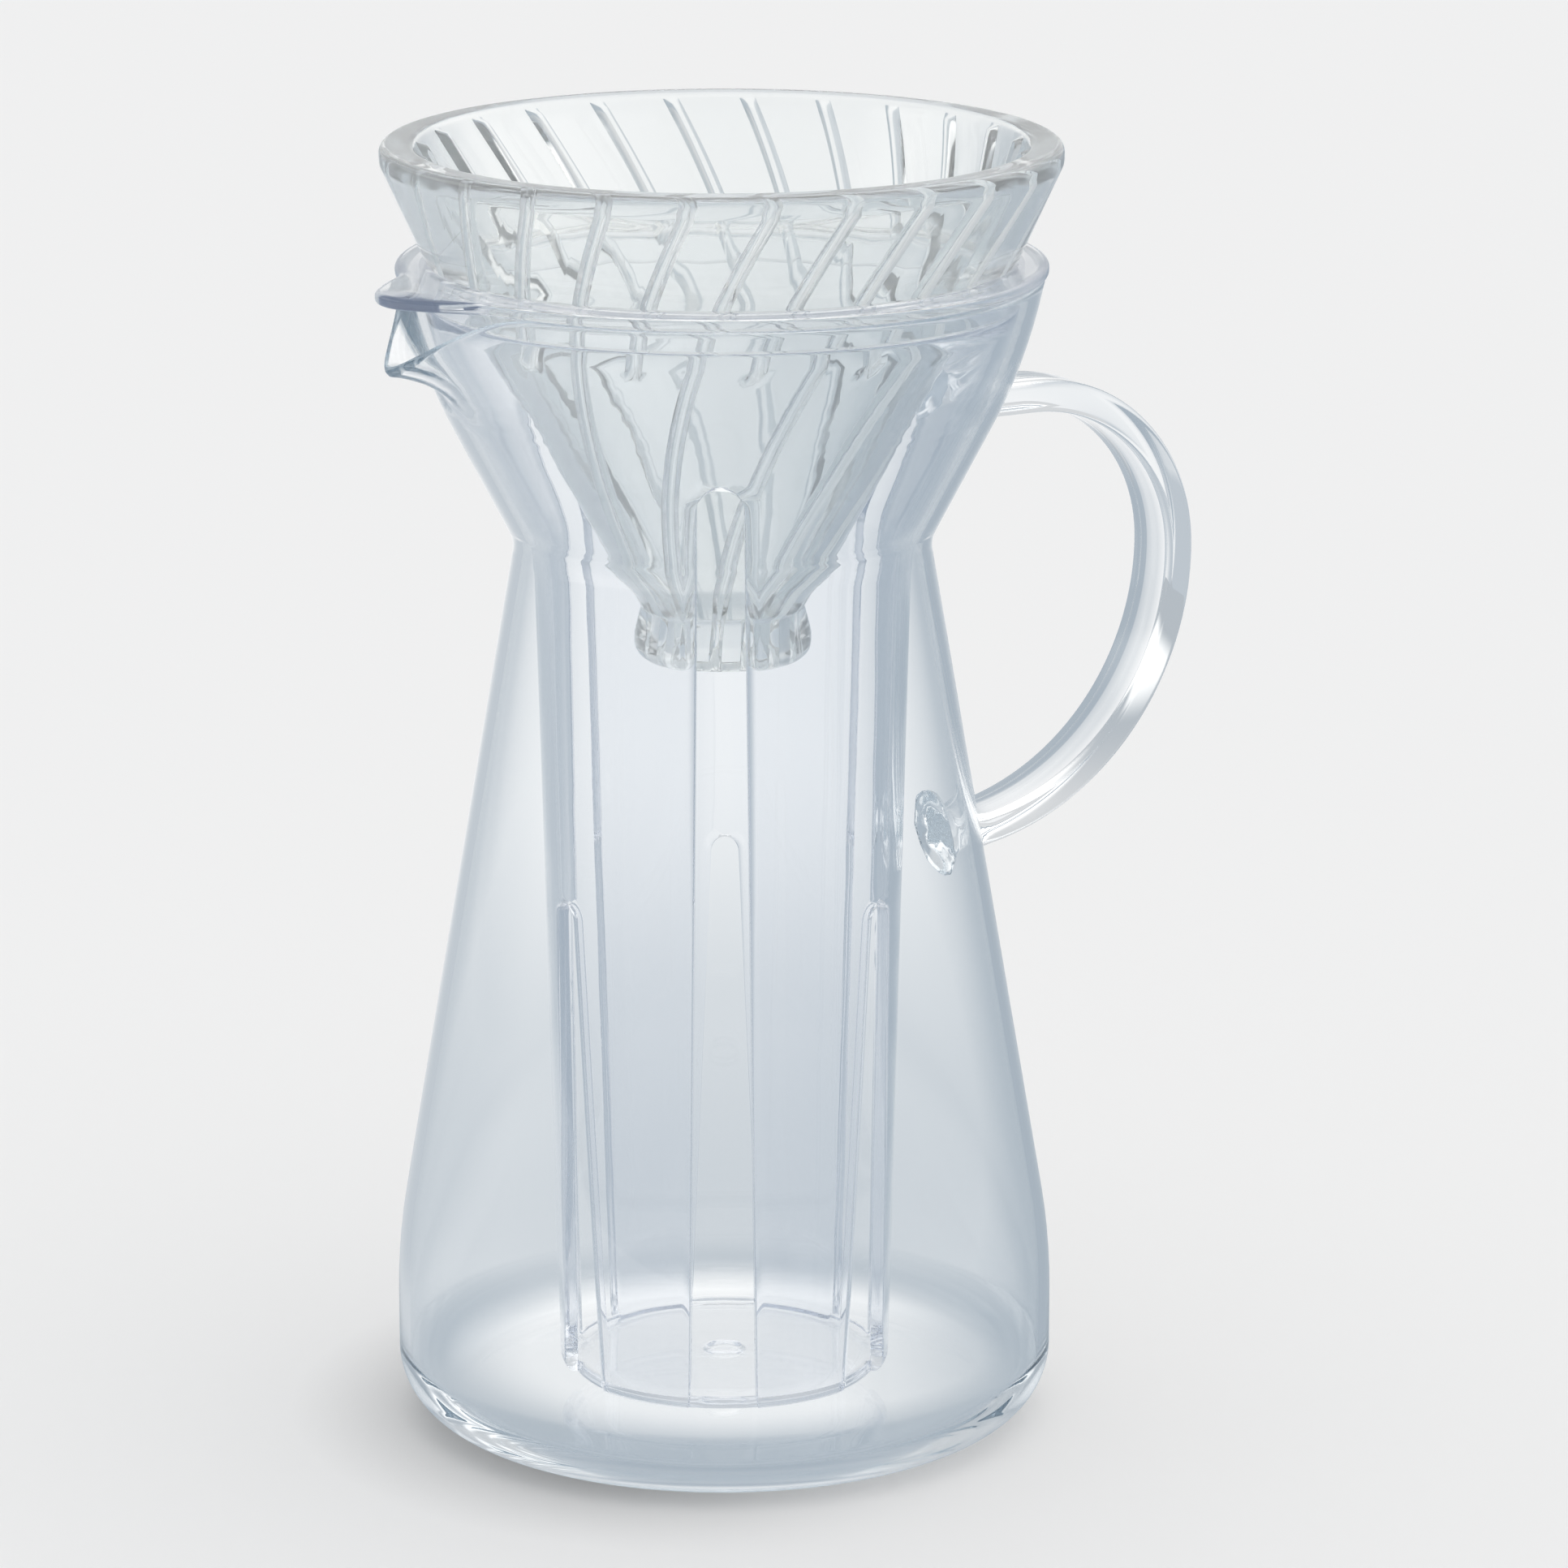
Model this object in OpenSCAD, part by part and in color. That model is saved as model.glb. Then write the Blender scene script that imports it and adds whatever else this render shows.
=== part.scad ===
// Iced coffee maker: a glass jug with a strap handle, a clear strainer that holds the ice,
// and a ribbed glass dripper that stands on the strainer's collar. All sizes are in millimetres.
// The origin is the centre of the jug's base, +Z is up, the handle points to +X and the spout to -X.

/* [Jug] */
// Widest diameter, just above the heel
base_d = 116.6; // [108:0.1:124]
// Radius of the heel
heel_r = 12; // [9:0.5:16]
// Height at which the belly starts to lean in
belly_h = 31; // [26:0.1:38]
// Radius of the bend at the belly
belly_r = 110; // [40:5:120]
// Diameter at the waist, where body and flare meet
waist_d = 72.6; // [68:0.1:78]
// Height of the waist
waist_h = 159; // [150:0.5:166]
// Radius of the bend at the waist
waist_r = 7; // [3:0.5:12]
// Height of the rim above the waist
flare_h = 46.8; // [42:0.1:52]
// Radius of the bend between flare and mouth
flare_r = 95; // [30:5:100]
// Height of the mouth, from that bend to the rim
mouth_h = 15.1; // [12:0.1:18]
// Lean of the mouth, in degrees from the vertical
mouth_angle = 12; // [6:0.5:16]
// Outer diameter of the mouth
mouth_d = 112; // [108:0.1:116]
// Thickness of the jug's glass wall
jug_wall = 1.9; // [1.5:0.1:2.4]
// Thickness of the jug's glass floor
jug_floor = 3.5; // [2.5:0.1:5]
// Radius that rounds the jug's rim
rim_r = 0.5; // [0.2:0.1:0.7]

/* [Spout] */
// How far the tip of the spout stands out past the mouth
spout_out = 9; // [7:0.5:12]
// How far the underside of the tip lies below the rim
spout_drop = 12; // [9:0.5:14]
// Half angle of the spout's trough, in degrees
spout_angle = 40; // [34:1:44]
// Length of the point that the lip cuts off, which rounds the tip
spout_nose = 3; // [2:0.5:5]
// Slope of the lip, in degrees from the level
lip_slope = 53; // [46:1:60]

/* [Handle] */
// Distance from the jug's axis to the handle's outer face
handle_reach = 94.5; // [88:0.5:101]
// Width of the strap
strap_w = 12; // [9:0.1:14]
// Thickness of the strap
strap_t = 5.7; // [5:0.1:7]
// Radius of the strap's edges
strap_edge_r = 2.2; // [1:0.1:2.4]
// Radius of the upper bend, to the middle of the strap
handle_top_r = 30.6; // [28:0.1:33]
// Radius of the lower bend, to the middle of the strap
handle_low_r = 48.2; // [42:0.1:56]
// How far the handle's outermost point lies below the waist
handle_mid_drop = 11; // [8:0.5:14]
// Radius of the pads that fuse the strap to the jug
pad_r = 7; // [6:0.1:8.5]
// Length over which a pad narrows to the strap
pad_l = 6; // [4:0.5:9]

/* [Strainer] */
// Thickness of the collar's plate
collar_t = 2.2; // [1.6:0.1:3]
// How far the collar stands out past the jug's mouth
collar_over = 0.5; // [0:0.1:1.5]
// How far the collar's lobe stands out past the spout's tip
lobe_over = 1; // [0.5:0.1:3]
// Radius of the lobe's nose
lobe_nose_r = 9; // [7:0.5:11]
// Angle of the lobe's flanks to its middle line, in degrees
lobe_angle = 46; // [42:1:50]
// Radius of the hollow where the lobe meets the collar
lobe_fillet_r = 8; // [4:0.5:12]
// Height of the skirt below the rim
skirt_h = 4.2; // [3:0.1:7]
// Thickness of the strainer's wall
strainer_wall = 2.2; // [1.6:0.1:2.8]
// Thickness of the strainer's floor
strainer_floor = 1.8; // [1.2:0.1:3]
// Outer diameter of the tube at its foot
tube_foot_d = 58.8; // [54:0.1:61]
// Radius of the tube's bottom edge
tube_edge_r = 1.8; // [1:0.1:2.2]
// Radius of the bend between tube and funnel
tube_bend_r = 12; // [6:0.5:20]
// Height of the strainer's underside above the jug's floor
strainer_lift = 4.5; // [3:0.1:8]

/* [Slots] */
// Number of slots round the tube, tall and short in turn
slot_count = 6; // [4:2:8]
// Height of the top of a tall slot above the waist
tall_rise = 17.6; // [8:0.1:24]
// How far the top of a short slot lies below the waist
short_drop = 62; // [40:0.5:90]
// Width of a tall slot at its arch
tall_top_w = 8.3; // [6:0.1:10]
// Width of a tall slot at the foot
tall_foot_w = 12.2; // [9:0.1:14]
// Width of a short slot at its arch
short_top_w = 5.5; // [4:0.1:8]
// Width of a short slot at the foot
short_foot_w = 13.4; // [9:0.1:14]

/* [Dripper] */
// Outer diameter of the dripper's rim
dripper_d = 118; // [114:0.1:124]
// Height of the rim above the collar
dripper_rise = 20.8; // [17:0.1:25]
// Width of the rim, seen from above
dripper_rim_w = 5.8; // [4.5:0.1:7]
// Height of the rim's upright band
rim_band_h = 3.2; // [2.5:0.1:5]
// Full angle of the filter cone, in degrees
cone_angle = 59; // [57:0.5:61]
// Thickness of the cone's glass, square to its face
cone_wall = 3.7; // [3:0.1:4.4]
// Width of the ledge that stands on the collar
ledge_w = 2.4; // [2:0.1:3]
// Diameter of the hole in the outlet
hole_d = 18; // [14:0.1:20]
// Outer diameter of the ring round the outlet
outlet_d = 31; // [28:0.1:34]
// How far the outlet's ring stands out past the cone's end
outlet_bulge = 1.2; // [0.5:0.1:2.5]
// Height of the outlet's ring
outlet_h = 9.5; // [8:0.1:12]

/* [Ribs] */
// Number of long ribs, with a short one between each two
rib_pairs = 12; // [6:1:16]
// Width of a rib at its foot
rib_w = 2.2; // [1.4:0.1:3]
// Height of a rib above the cone's face
rib_h = 1.5; // [0.8:0.1:2.2]
// Turn of the ribs for each millimetre of depth, in degrees
rib_turn = 0.54; // [0.2:0.02:0.7]
// Depth of the ribs' upper ends below the rim
rib_start = 2.4; // [2:0.1:6]
// Depth of the short ribs' lower ends below the rim
rib_short_end = 33; // [26:0.5:44]
// Direction of the first rib at the rim, in degrees from the handle
rib_phase = 11; // [0:1:29]

/* [Fits] */
// Gap between the strainer and the jug's glass
jug_gap = 1.3; // [0.6:0.1:1.6]
// Gap between the dripper's cone and the hole in the collar
cone_gap = 1; // [0.6:0.1:1.4]

/* [Hidden] */
$fn = 64;
glass_tint = [0.80, 0.87, 0.89, 0.55];
clear_tint = [0.80, 0.82, 0.90, 0.55];
milk_tint = [0.86, 0.89, 0.89, 0.65];

// Largest turn between two points of a rounded corner, in degrees
arc_step = 6;
// Fewest steps in a rounded corner
arc_min = 4;
// Largest share of a straight side that its bends may take
bend_room = 0.95;
// Length by which a cut passes the face that it opens
past = 5;

// Jug: its height, and where flare and mouth meet
jug_h = waist_h + flare_h;
mouth_r = mouth_d / 2;
mouth_lean = tan(mouth_angle);
flare_top_r = mouth_r - mouth_lean * mouth_h;
flare_lean = (flare_top_r - waist_d / 2) / (flare_h - mouth_h);
body_lean = (base_d - waist_d) / 2 / (waist_h - belly_h);
jug_path = [
    [0, 0, 0],
    [base_d / 2, 0, heel_r],
    [base_d / 2, belly_h, belly_r],
    [waist_d / 2, waist_h, waist_r],
    [flare_top_r, jug_h - mouth_h, flare_r],
    [mouth_r, jug_h, 0],
    [0, jug_h, 0],
];

// Spout
spout_reach = mouth_r + spout_out;
spout_z = jug_h - spout_drop;
spout_len = spout_out + spout_nose + 16;

// Handle: its strap's middle line runs level out of the flare, then bends twice
strap_mid = handle_reach - strap_t / 2;
handle_mid_z = waist_h - handle_mid_drop;
root_x = strap_mid - handle_top_r;
root_z = handle_mid_z + handle_top_r;
upper_root = [waist_d / 2 + flare_lean * (root_z - waist_h), root_z];
lower_root = crossing(
    [waist_d / 2, waist_h], [body_lean, -1], [strap_mid - handle_low_r, handle_mid_z], handle_low_r);
// Depth to which a pad is sunk below the jug's face, and its slope
pad_sink = 3;
pad_slope = (pad_r - strap_t / 2) / pad_l;

// Strainer
collar_z = jug_h + collar_t;
strainer_path = moved_path(jug_path, [for (i = [1:6]) jug_wall + jug_gap]);
skirt_z = jug_h - skirt_h;
skirt_r = strainer_path[5][0] - mouth_lean * skirt_h;
collar_hole_r = skirt_r - strainer_wall;
basket_z = jug_floor + strainer_lift;
basket_path = [
    [0, basket_z, 0],
    [tube_foot_d / 2, basket_z, tube_edge_r],
    [strainer_path[3][0], strainer_path[3][1], tube_bend_r],
    strainer_path[4],
    [skirt_r, skirt_z, 0],
    [0, skirt_z, 0],
];
floor_r = tube_foot_d / 2 - strainer_wall;
slot_pitch = 360 / slot_count;
lobe_reach = spout_reach + lobe_over;
// How far the ends of the lobe's outline lie inside the ring
lobe_lap = 0.1;

// Dripper
rim_z = collar_z + dripper_rise;
rim_in_r = dripper_d / 2 - dripper_rim_w;
cone_lean = tan(cone_angle / 2);
ledge_in_r = collar_hole_r - cone_gap;
cone_top_r = ledge_in_r - cone_wall / cos(cone_angle / 2);
brim_lean = (rim_in_r - cone_top_r) / dripper_rise;
neck_r = outlet_d / 2 - outlet_bulge;
neck_z = collar_z - (ledge_in_r - neck_r) / cone_lean;
outlet_z = neck_z - outlet_h;
hole_z = collar_z - (cone_top_r - hole_d / 2) / cone_lean;
// Depth to which a rib's foot is sunk in the glass, and how far its crest is narrower on each side
rib_sink = 0.8;
rib_taper = 0.5;
// Length by which the bars of a rib pass each other
rib_lap = 0.4;
// Heights of a rib's ends, and of the places where its bars meet
rib_top = rim_z - rib_start;
long_rib_end = hole_z + 3;
long_rib = [rib_top, collar_z, (collar_z + long_rib_end) / 2, long_rib_end];
short_rib = [rib_top, collar_z, rim_z - rib_short_end];

// Radius of the dripper's inner face at height z
function face_r(z) = z > collar_z
    ? rim_in_r - brim_lean * (rim_z - z)
    : cone_top_r - cone_lean * (collar_z - z);

// The far point where a line from p along d crosses a circle round c
function crossing(p, d, c, r) =
    let (m = p - c, k = m * d / (d * d))
    p + d * (sqrt(k * k - (m * m - r * r) / (d * d)) - k);

// Paths run upwards with the axis on their left; a point is [radius, height, radius of its bend]
function flat(p) = [p[0], p[1]];
function unit(v) = v / norm(v);
function left_of(v) = [-v[1], v[0]];
function area_of(a, b) = a[0] * b[1] - a[1] * b[0];
function heading(path, i) = unit(flat(path[i + 1]) - flat(path[i]));

// The corner between headings a and b at p, with its sides moved left by m and n
function moved_corner(p, a, b, m, n) =
    flat(p) + (m * b - n * a) / area_of(a, b);

// A path with each side moved left by its own wall; bends keep their centres
function moved_path(path, walls) = [
    for (i = [0:len(path) - 1])
        i == 0 ? [0, path[0][1] + walls[0], 0]
        : i == len(path) - 1 ? path[i]
        : let (
            a = heading(path, i - 1),
            b = heading(path, i),
            q = moved_corner(path[i], a, b, walls[i - 1], i == len(path) - 2 ? 0 : walls[i]),
            r = path[i][2] - sign(area_of(a, b)) * walls[i]
        )
        [q[0], q[1], max(0, r)]
];

// A closed or open path with its corners rounded to their bends
function rounded(path) = [
    for (i = [0:len(path) - 1])
        each is_sharp(path, i)
            ? [flat(path[i])]
            : bend(flat(path[i]), heading(path, i - 1), heading(path, i), bend_r(path, i))
];
function is_sharp(path, i) = i == 0 || i == len(path) - 1 || path[i][2] == 0;
function turn_between(a, b) = atan2(area_of(a, b), a * b);
function half_turn(path, i) = abs(turn_between(heading(path, i - 1), heading(path, i))) / 2;
// How far a bend reaches along the sides of its corner
function bend_reach(path, i) = is_sharp(path, i) ? 0 : path[i][2] * tan(half_turn(path, i));
// The bend's radius, made smaller where it and a bend beside it would need more than their side
function bend_r(path, i) = path[i][2] * min(1, side_share(path, i, i - 1), side_share(path, i, i + 1));
function side_share(path, i, j) =
    bend_room * norm(flat(path[j]) - flat(path[i])) / (bend_reach(path, i) + bend_reach(path, j));
function bend(p, a, b, r) =
    let (
        turn = turn_between(a, b),
        side = sign(turn),
        start = p - a * r * tan(abs(turn) / 2),
        centre = start + left_of(a) * r * side,
        steps = max(arc_min, ceil(abs(turn) / arc_step))
    )
    [for (k = [0:steps]) centre + turned(start - centre, turn * k / steps)];
// Points of an arc round c from one direction to another
function arc(c, r, from, to) =
    let (steps = max(arc_min, ceil(abs(to - from) / arc_step)))
    [for (k = [0:steps]) c + turned([r, 0], from + (to - from) * k / steps)];
function turned(v, a) = [v[0] * cos(a) - v[1] * sin(a), v[0] * sin(a) + v[1] * cos(a)];
function reversed(list) = [for (i = [len(list) - 1:-1:0]) list[i]];
function first(list, n) = [for (i = [0:n - 1]) list[i]];

// The cross-section of a vessel: its outer path, a rim rounded by edge, and the inner path back
function vessel(path, walls, edge) =
    let (
        inner = moved_path(path, walls),
        n = len(path) - 2,
        rim_out = [path[n][0], path[n][1], edge],
        rim_in = [inner[n][0], inner[n][1], edge]
    )
    rounded(concat(first(path, n), [rim_out, rim_in], reversed(first(inner, n))));

// Half a solid of revolution up to a path, which passes its top by the length over
function filled(path, over) =
    let (n = len(path) - 2)
    rounded(concat(first(path, n + 1), [
        [path[n][0], path[n][1] + over, 0],
        [0, path[n][1] + over, 0],
    ]));

// Jug

module jug_solid() {
    rotate_extrude() polygon(filled(jug_path, 0));
}

module jug_half_wall() {
    half = concat([jug_floor / 2], [for (i = [1:5]) jug_wall / 2]);
    rotate_extrude() polygon(filled(moved_path(jug_path, half), past));
}

// A cone that lies with its underside level and points to -X; inset is the wall that it leaves
module spout_cone(inset) {
    shift = inset / sin(spout_angle);
    translate([-spout_reach - spout_nose, 0, spout_z])
        rotate([0, 90 - spout_angle, 0])
            translate([0, 0, shift])
                cylinder(h = spout_len, r1 = 0, r2 = spout_len * tan(spout_angle));
}

module spout_beak() {
    wide = 2 * spout_reach;
    difference() {
        spout_cone(0);
        jug_half_wall();
        translate([-2 * wide, -wide, jug_h - rim_r])
            cube([3 * wide, 2 * wide, wide]);
        translate([-spout_reach, 0, spout_z])
            rotate([0, -lip_slope, 0])
                translate([-wide, -wide, 0])
                    cube([2 * wide, 2 * wide, wide]);
    }
}

module jug_body() {
    walls = concat([jug_floor], [for (i = [1:5]) jug_wall]);
    color(glass_tint)
        difference() {
            union() {
                rotate_extrude() polygon(vessel(jug_path, walls, rim_r));
                spout_beak();
            }
            spout_cone(jug_wall);
        }
}

// Handle

// The strap's cross-section, with x across its thickness and y along its width
module strap_section() {
    x = strap_t / 2 - strap_edge_r;
    y = strap_w / 2 - strap_edge_r;
    square([strap_t, 2 * y], center = true);
    square([2 * x, strap_w], center = true);
    for (i = [-1, 1], j = [-1, 1])
        translate([i * x, j * y]) circle(r = strap_edge_r);
}

// A quarter bend of the strap, from its outermost point up to the level
module strap_bend(r) {
    translate([strap_mid - r, 0, 0])
        rotate([90, 0, 0])
            rotate_extrude(angle = 90) translate([r, 0]) strap_section();
}

// A cone that widens the strap to its pad, square to the jug's face at a point of the XZ plane
module pad(at, angle) {
    translate([at[0], 0, at[1]])
        rotate([0, 90 - angle, 0])
            translate([0, 0, -pad_sink])
                cylinder(h = pad_sink + pad_l, r1 = pad_r + pad_slope * pad_sink, r2 = strap_t / 2);
}

module jug_handle() {
    color(glass_tint)
        difference() {
            union() {
                translate([root_x, 0, root_z])
                    rotate([0, -90, 0])
                        linear_extrude(root_x) strap_section();
                translate([0, 0, handle_mid_z]) {
                    strap_bend(handle_top_r);
                    mirror([0, 0, 1]) strap_bend(handle_low_r);
                }
                pad(upper_root, -atan(flare_lean));
                pad(lower_root, atan(body_lean));
            }
            jug_solid();
        }
}

// Strainer

// The lobe in plan, along +X: a round nose whose straight flanks run back to the ring
module lobe(ring_r) {
    nose = [lobe_reach - lobe_nose_r, 0];
    side = [sin(lobe_angle), cos(lobe_angle)];
    along = [cos(lobe_angle), -sin(lobe_angle)];
    // The fillet's circle touches the flank from outside, and runs just inside the ring
    fillet_from_axis = nose * side + lobe_nose_r + lobe_fillet_r;
    fillet_from_ring = ring_r - lobe_lap + lobe_fillet_r;
    fillet = fillet_from_axis * side
        + sqrt(pow(fillet_from_ring, 2) - pow(fillet_from_axis, 2)) * along;
    hollow = arc(fillet, lobe_fillet_r, 180 + atan2(fillet[1], fillet[0]), 270 - lobe_angle);
    tip = arc(nose, lobe_nose_r, 90 - lobe_angle, lobe_angle - 90);
    polygon(concat([[0, 0]], hollow, tip, [for (p = reversed(hollow)) [p[0], -p[1]]]));
}

module strainer_collar() {
    ring_r = mouth_r + collar_over;
    color(clear_tint)
        difference() {
            union() {
                translate([0, 0, jug_h])
                    linear_extrude(collar_t) {
                        circle(r = ring_r);
                        rotate(180) lobe(ring_r);
                    }
                translate([0, 0, skirt_z])
                    cylinder(h = skirt_h + collar_t / 2, r = skirt_r);
            }
            translate([0, 0, skirt_z - past])
                cylinder(h = skirt_h + collar_t + 2 * past, r = collar_hole_r);
        }
}

// A slot seen along the tube's radius: straight sides that part towards the foot, and an arch
module slot_outline(top, top_w, foot_w) {
    spring = top - top_w / 2;
    foot = basket_z - past;
    translate([0, spring]) circle(r = top_w / 2);
    polygon([
        [-top_w / 2, spring], [-foot_w / 2, basket_z], [-foot_w / 2, foot],
        [foot_w / 2, foot], [foot_w / 2, basket_z], [top_w / 2, spring],
    ]);
}

module slot(top, top_w, foot_w) {
    rotate([90, 0, 90])
        linear_extrude(mouth_r) slot_outline(top, top_w, foot_w);
}

module strainer_basket() {
    walls = [strainer_floor, strainer_wall, strainer_wall, strainer_wall, 0];
    color(clear_tint)
        difference() {
            rotate_extrude() polygon(vessel(basket_path, walls, 0));
            difference() {
                for (i = [0:slot_count - 1])
                    rotate(i * slot_pitch)
                        if (i % 2 == 0)
                            slot(waist_h + tall_rise, tall_top_w, tall_foot_w);
                        else
                            slot(waist_h - short_drop, short_top_w, short_foot_w);
                cylinder(h = jug_h, r = floor_r);
            }
        }
}

// Dripper

module dripper_shell() {
    rim = dripper_d / 2;
    outlet = outlet_d / 2;
    start = [hole_d / 2, outlet_z + outlet_h / 2, 0];
    rotate_extrude()
        polygon(rounded([
            start,
            [hole_d / 2, outlet_z, 1],
            [outlet, outlet_z, outlet_h / 3],
            [outlet, outlet_z + outlet_h / 2, outlet_h / 3],
            [neck_r, neck_z, 1],
            [ledge_in_r, collar_z, 0],
            [ledge_in_r + ledge_w, collar_z, 1],
            [rim, rim_z - rim_band_h, rim_band_h],
            [rim, rim_z, rim_band_h / 2],
            [rim_in_r, rim_z, rim_band_h / 2],
            [cone_top_r, collar_z, 4],
            [hole_d / 2, hole_z, 2],
            start,
        ]));
}

// Direction of the first rib at height z, and its point on the dripper's inner face
function rib_angle(z) = rib_phase - rib_turn * (rim_z - z);
function rib_at(z) = let (a = rib_angle(z)) [face_r(z) * cos(a), face_r(z) * sin(a), z];

// A straight bar of a rib on the inner face, from one height to another
module rib_bar(top, foot) {
    from = rib_at(top);
    to = rib_at(foot);
    along = unit(to - from);
    lean = top > collar_z ? atan(brim_lean) : cone_angle / 2;
    a = rib_angle((top + foot) / 2);
    side = unit(cross([-cos(lean) * cos(a), -cos(lean) * sin(a), sin(lean)], along));
    up = cross(along, side);
    foot_x = rib_w / 2;
    crest_x = foot_x - rib_taper;
    multmatrix([for (i = [0:2]) [side[i], up[i], along[i], from[i] - rib_lap * along[i]]])
        linear_extrude(norm(to - from) + 2 * rib_lap)
            polygon([[-foot_x, -rib_sink], [foot_x, -rib_sink], [crest_x, rib_h], [-crest_x, rib_h]]);
}

// A rib that winds down the inner face through a list of heights
module rib(heights) {
    for (i = [1:len(heights) - 1])
        rib_bar(heights[i - 1], heights[i]);
}

module dripper() {
    pitch = 360 / rib_pairs;
    color(milk_tint) {
        dripper_shell();
        for (i = [0:rib_pairs - 1]) {
            rotate(i * pitch) rib(long_rib);
            rotate((i + 0.5) * pitch) rib(short_rib);
        }
    }
}

jug_body();
jug_handle();
strainer_collar();
strainer_basket();
dripper();
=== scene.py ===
"""The looks of an iced coffee maker: a blown glass jug, a clear moulded strainer, a pressed glass dripper.

Sizes are in millimetres and directions in degrees, in the part's own frame: the origin is the centre
of the jug's base, +Z is up, the handle points to +X and the spout to -X. What the shader nodes measure,
on the studio's floor and in the finishes, is in metres.
"""
import bisect
import math
from collections import Counter

import bpy
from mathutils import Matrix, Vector


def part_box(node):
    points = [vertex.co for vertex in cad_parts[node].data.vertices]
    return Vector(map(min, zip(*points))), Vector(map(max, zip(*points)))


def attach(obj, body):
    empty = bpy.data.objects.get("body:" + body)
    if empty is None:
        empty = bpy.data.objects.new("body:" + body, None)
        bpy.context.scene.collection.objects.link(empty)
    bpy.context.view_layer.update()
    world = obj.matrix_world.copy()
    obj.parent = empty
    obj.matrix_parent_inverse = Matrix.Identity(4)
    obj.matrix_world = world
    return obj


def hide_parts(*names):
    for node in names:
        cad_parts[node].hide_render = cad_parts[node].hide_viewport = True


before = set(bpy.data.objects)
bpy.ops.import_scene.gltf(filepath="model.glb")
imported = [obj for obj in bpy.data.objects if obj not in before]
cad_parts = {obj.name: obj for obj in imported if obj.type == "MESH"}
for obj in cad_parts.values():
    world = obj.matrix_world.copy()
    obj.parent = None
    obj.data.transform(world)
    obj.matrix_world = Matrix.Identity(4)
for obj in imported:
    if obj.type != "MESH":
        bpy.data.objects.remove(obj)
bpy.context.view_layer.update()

MM = 0.001
WELD = 0.002
BEND_STEP = 4
BEND_ROOM = 0.95

# Heights that the frame gives, and how far the handle reaches
JUG_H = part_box("jug_body")[1].z / MM
COLLAR_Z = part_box("strainer_collar")[1].z / MM
SKIRT_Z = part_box("strainer_collar")[0].z / MM
BASKET_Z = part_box("strainer_basket")[0].z / MM
RIM_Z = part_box("dripper")[1].z / MM
OUTLET_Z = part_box("dripper")[0].z / MM
HANDLE_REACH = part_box("jug_handle")[1].x / MM

# Jug
BASE_R = 58.3
HEEL_BEND = 12
BELLY_H = 31
BELLY_BEND = 110
WAIST_R = 36.3
WAIST_H = 159
WAIST_BEND = 7
MOUTH_R = 56
MOUTH_H = 15.1
MOUTH_LEAN = math.tan(math.radians(12))
FLARE_TOP_R = MOUTH_R - MOUTH_LEAN * MOUTH_H
FLARE_BEND = 95
JUG_WALL = 1.9
JUG_FLOOR = 3.5
JUG_RIM_BEND = 0.9
PUSH_UP = 0.8
PUSH_UP_R = 44
PUSH_UP_BEND = 120
JUG_COLUMNS = 360
JUG_BEND_STEP = 2
JUG_BEND_ROW = 0.15
JUG_ROW = 12
SPOUT_ROW = 1.2
JUG_CREASE = 60

# Spout, pulled from the mouth: its bend lies outwards and upwards of its foot
SPOUT_REACH = 65
SPOUT_DROP = 12
SPOUT_FOOT_Z = 184
SPOUT_HALF_W = 21
SPOUT_FOOT_SHARE = 0.55
SPOUT_NOSE = 3.5
SPOUT_BEND = (5.2, 9.2)
LEAN_SPAN = 2

# Handle: a pad is (half width, half thickness)
STRAP_W = 12
STRAP_T = 5.7
STRAP_BEND = 1.3
STRAP_BEND_STEP = 12
STRAP_COLUMN = 2.2
STRAP_CREASE = 45
STRAP_MID = HANDLE_REACH - STRAP_T / 2
HANDLE_MID_Z = 148
HANDLE_TOP_R = 30.6
HANDLE_LOW_R = 48.2
TOP_ARC = 90
TOP_ARC_STEPS = 30
LOW_ARC = 89.4
LOW_ARC_STEPS = 67
ARM_STEP = 1.2
ARM_STEPS = 18
UPPER_PAD = (6.6, 4.6)
UPPER_PAD_L = 6
LOWER_PAD = (7.2, 8)
LOWER_PAD_L = 6.5
PAD_ROUNDING = 1.3
PAD_SINK = 0.8
PAD_RINGS = (0.8, 0.75, 0.67, 0.5)
PAD_RIPPLE = 0.55
FIRST_RIPPLE = (1.3, 0.5)
SECOND_RIPPLE = (-0.6, 1.1)

# Strainer's collar
STRAINER_GAP = 1.3
STRAINER_WALL = 2.2
COLLAR_R = 56.5
COLLAR_EDGE = 0.9
COLLAR_INNER_EDGE = 0.5
SKIRT_EDGE = 0.35
COLLAR_COLUMNS = 384
COLLAR_BEND_STEP = 15
COLLAR_ROW = 2
COLLAR_CREASE = 50
LOBE_REACH = 66
LOBE_NOSE_R = 9
LOBE_ANGLE = 46
LOBE_FILLET_R = 8
LOBE_IN_R = 52.4
LOBE_EDGE = 1.2
LOBE_STEPS = 24

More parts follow.
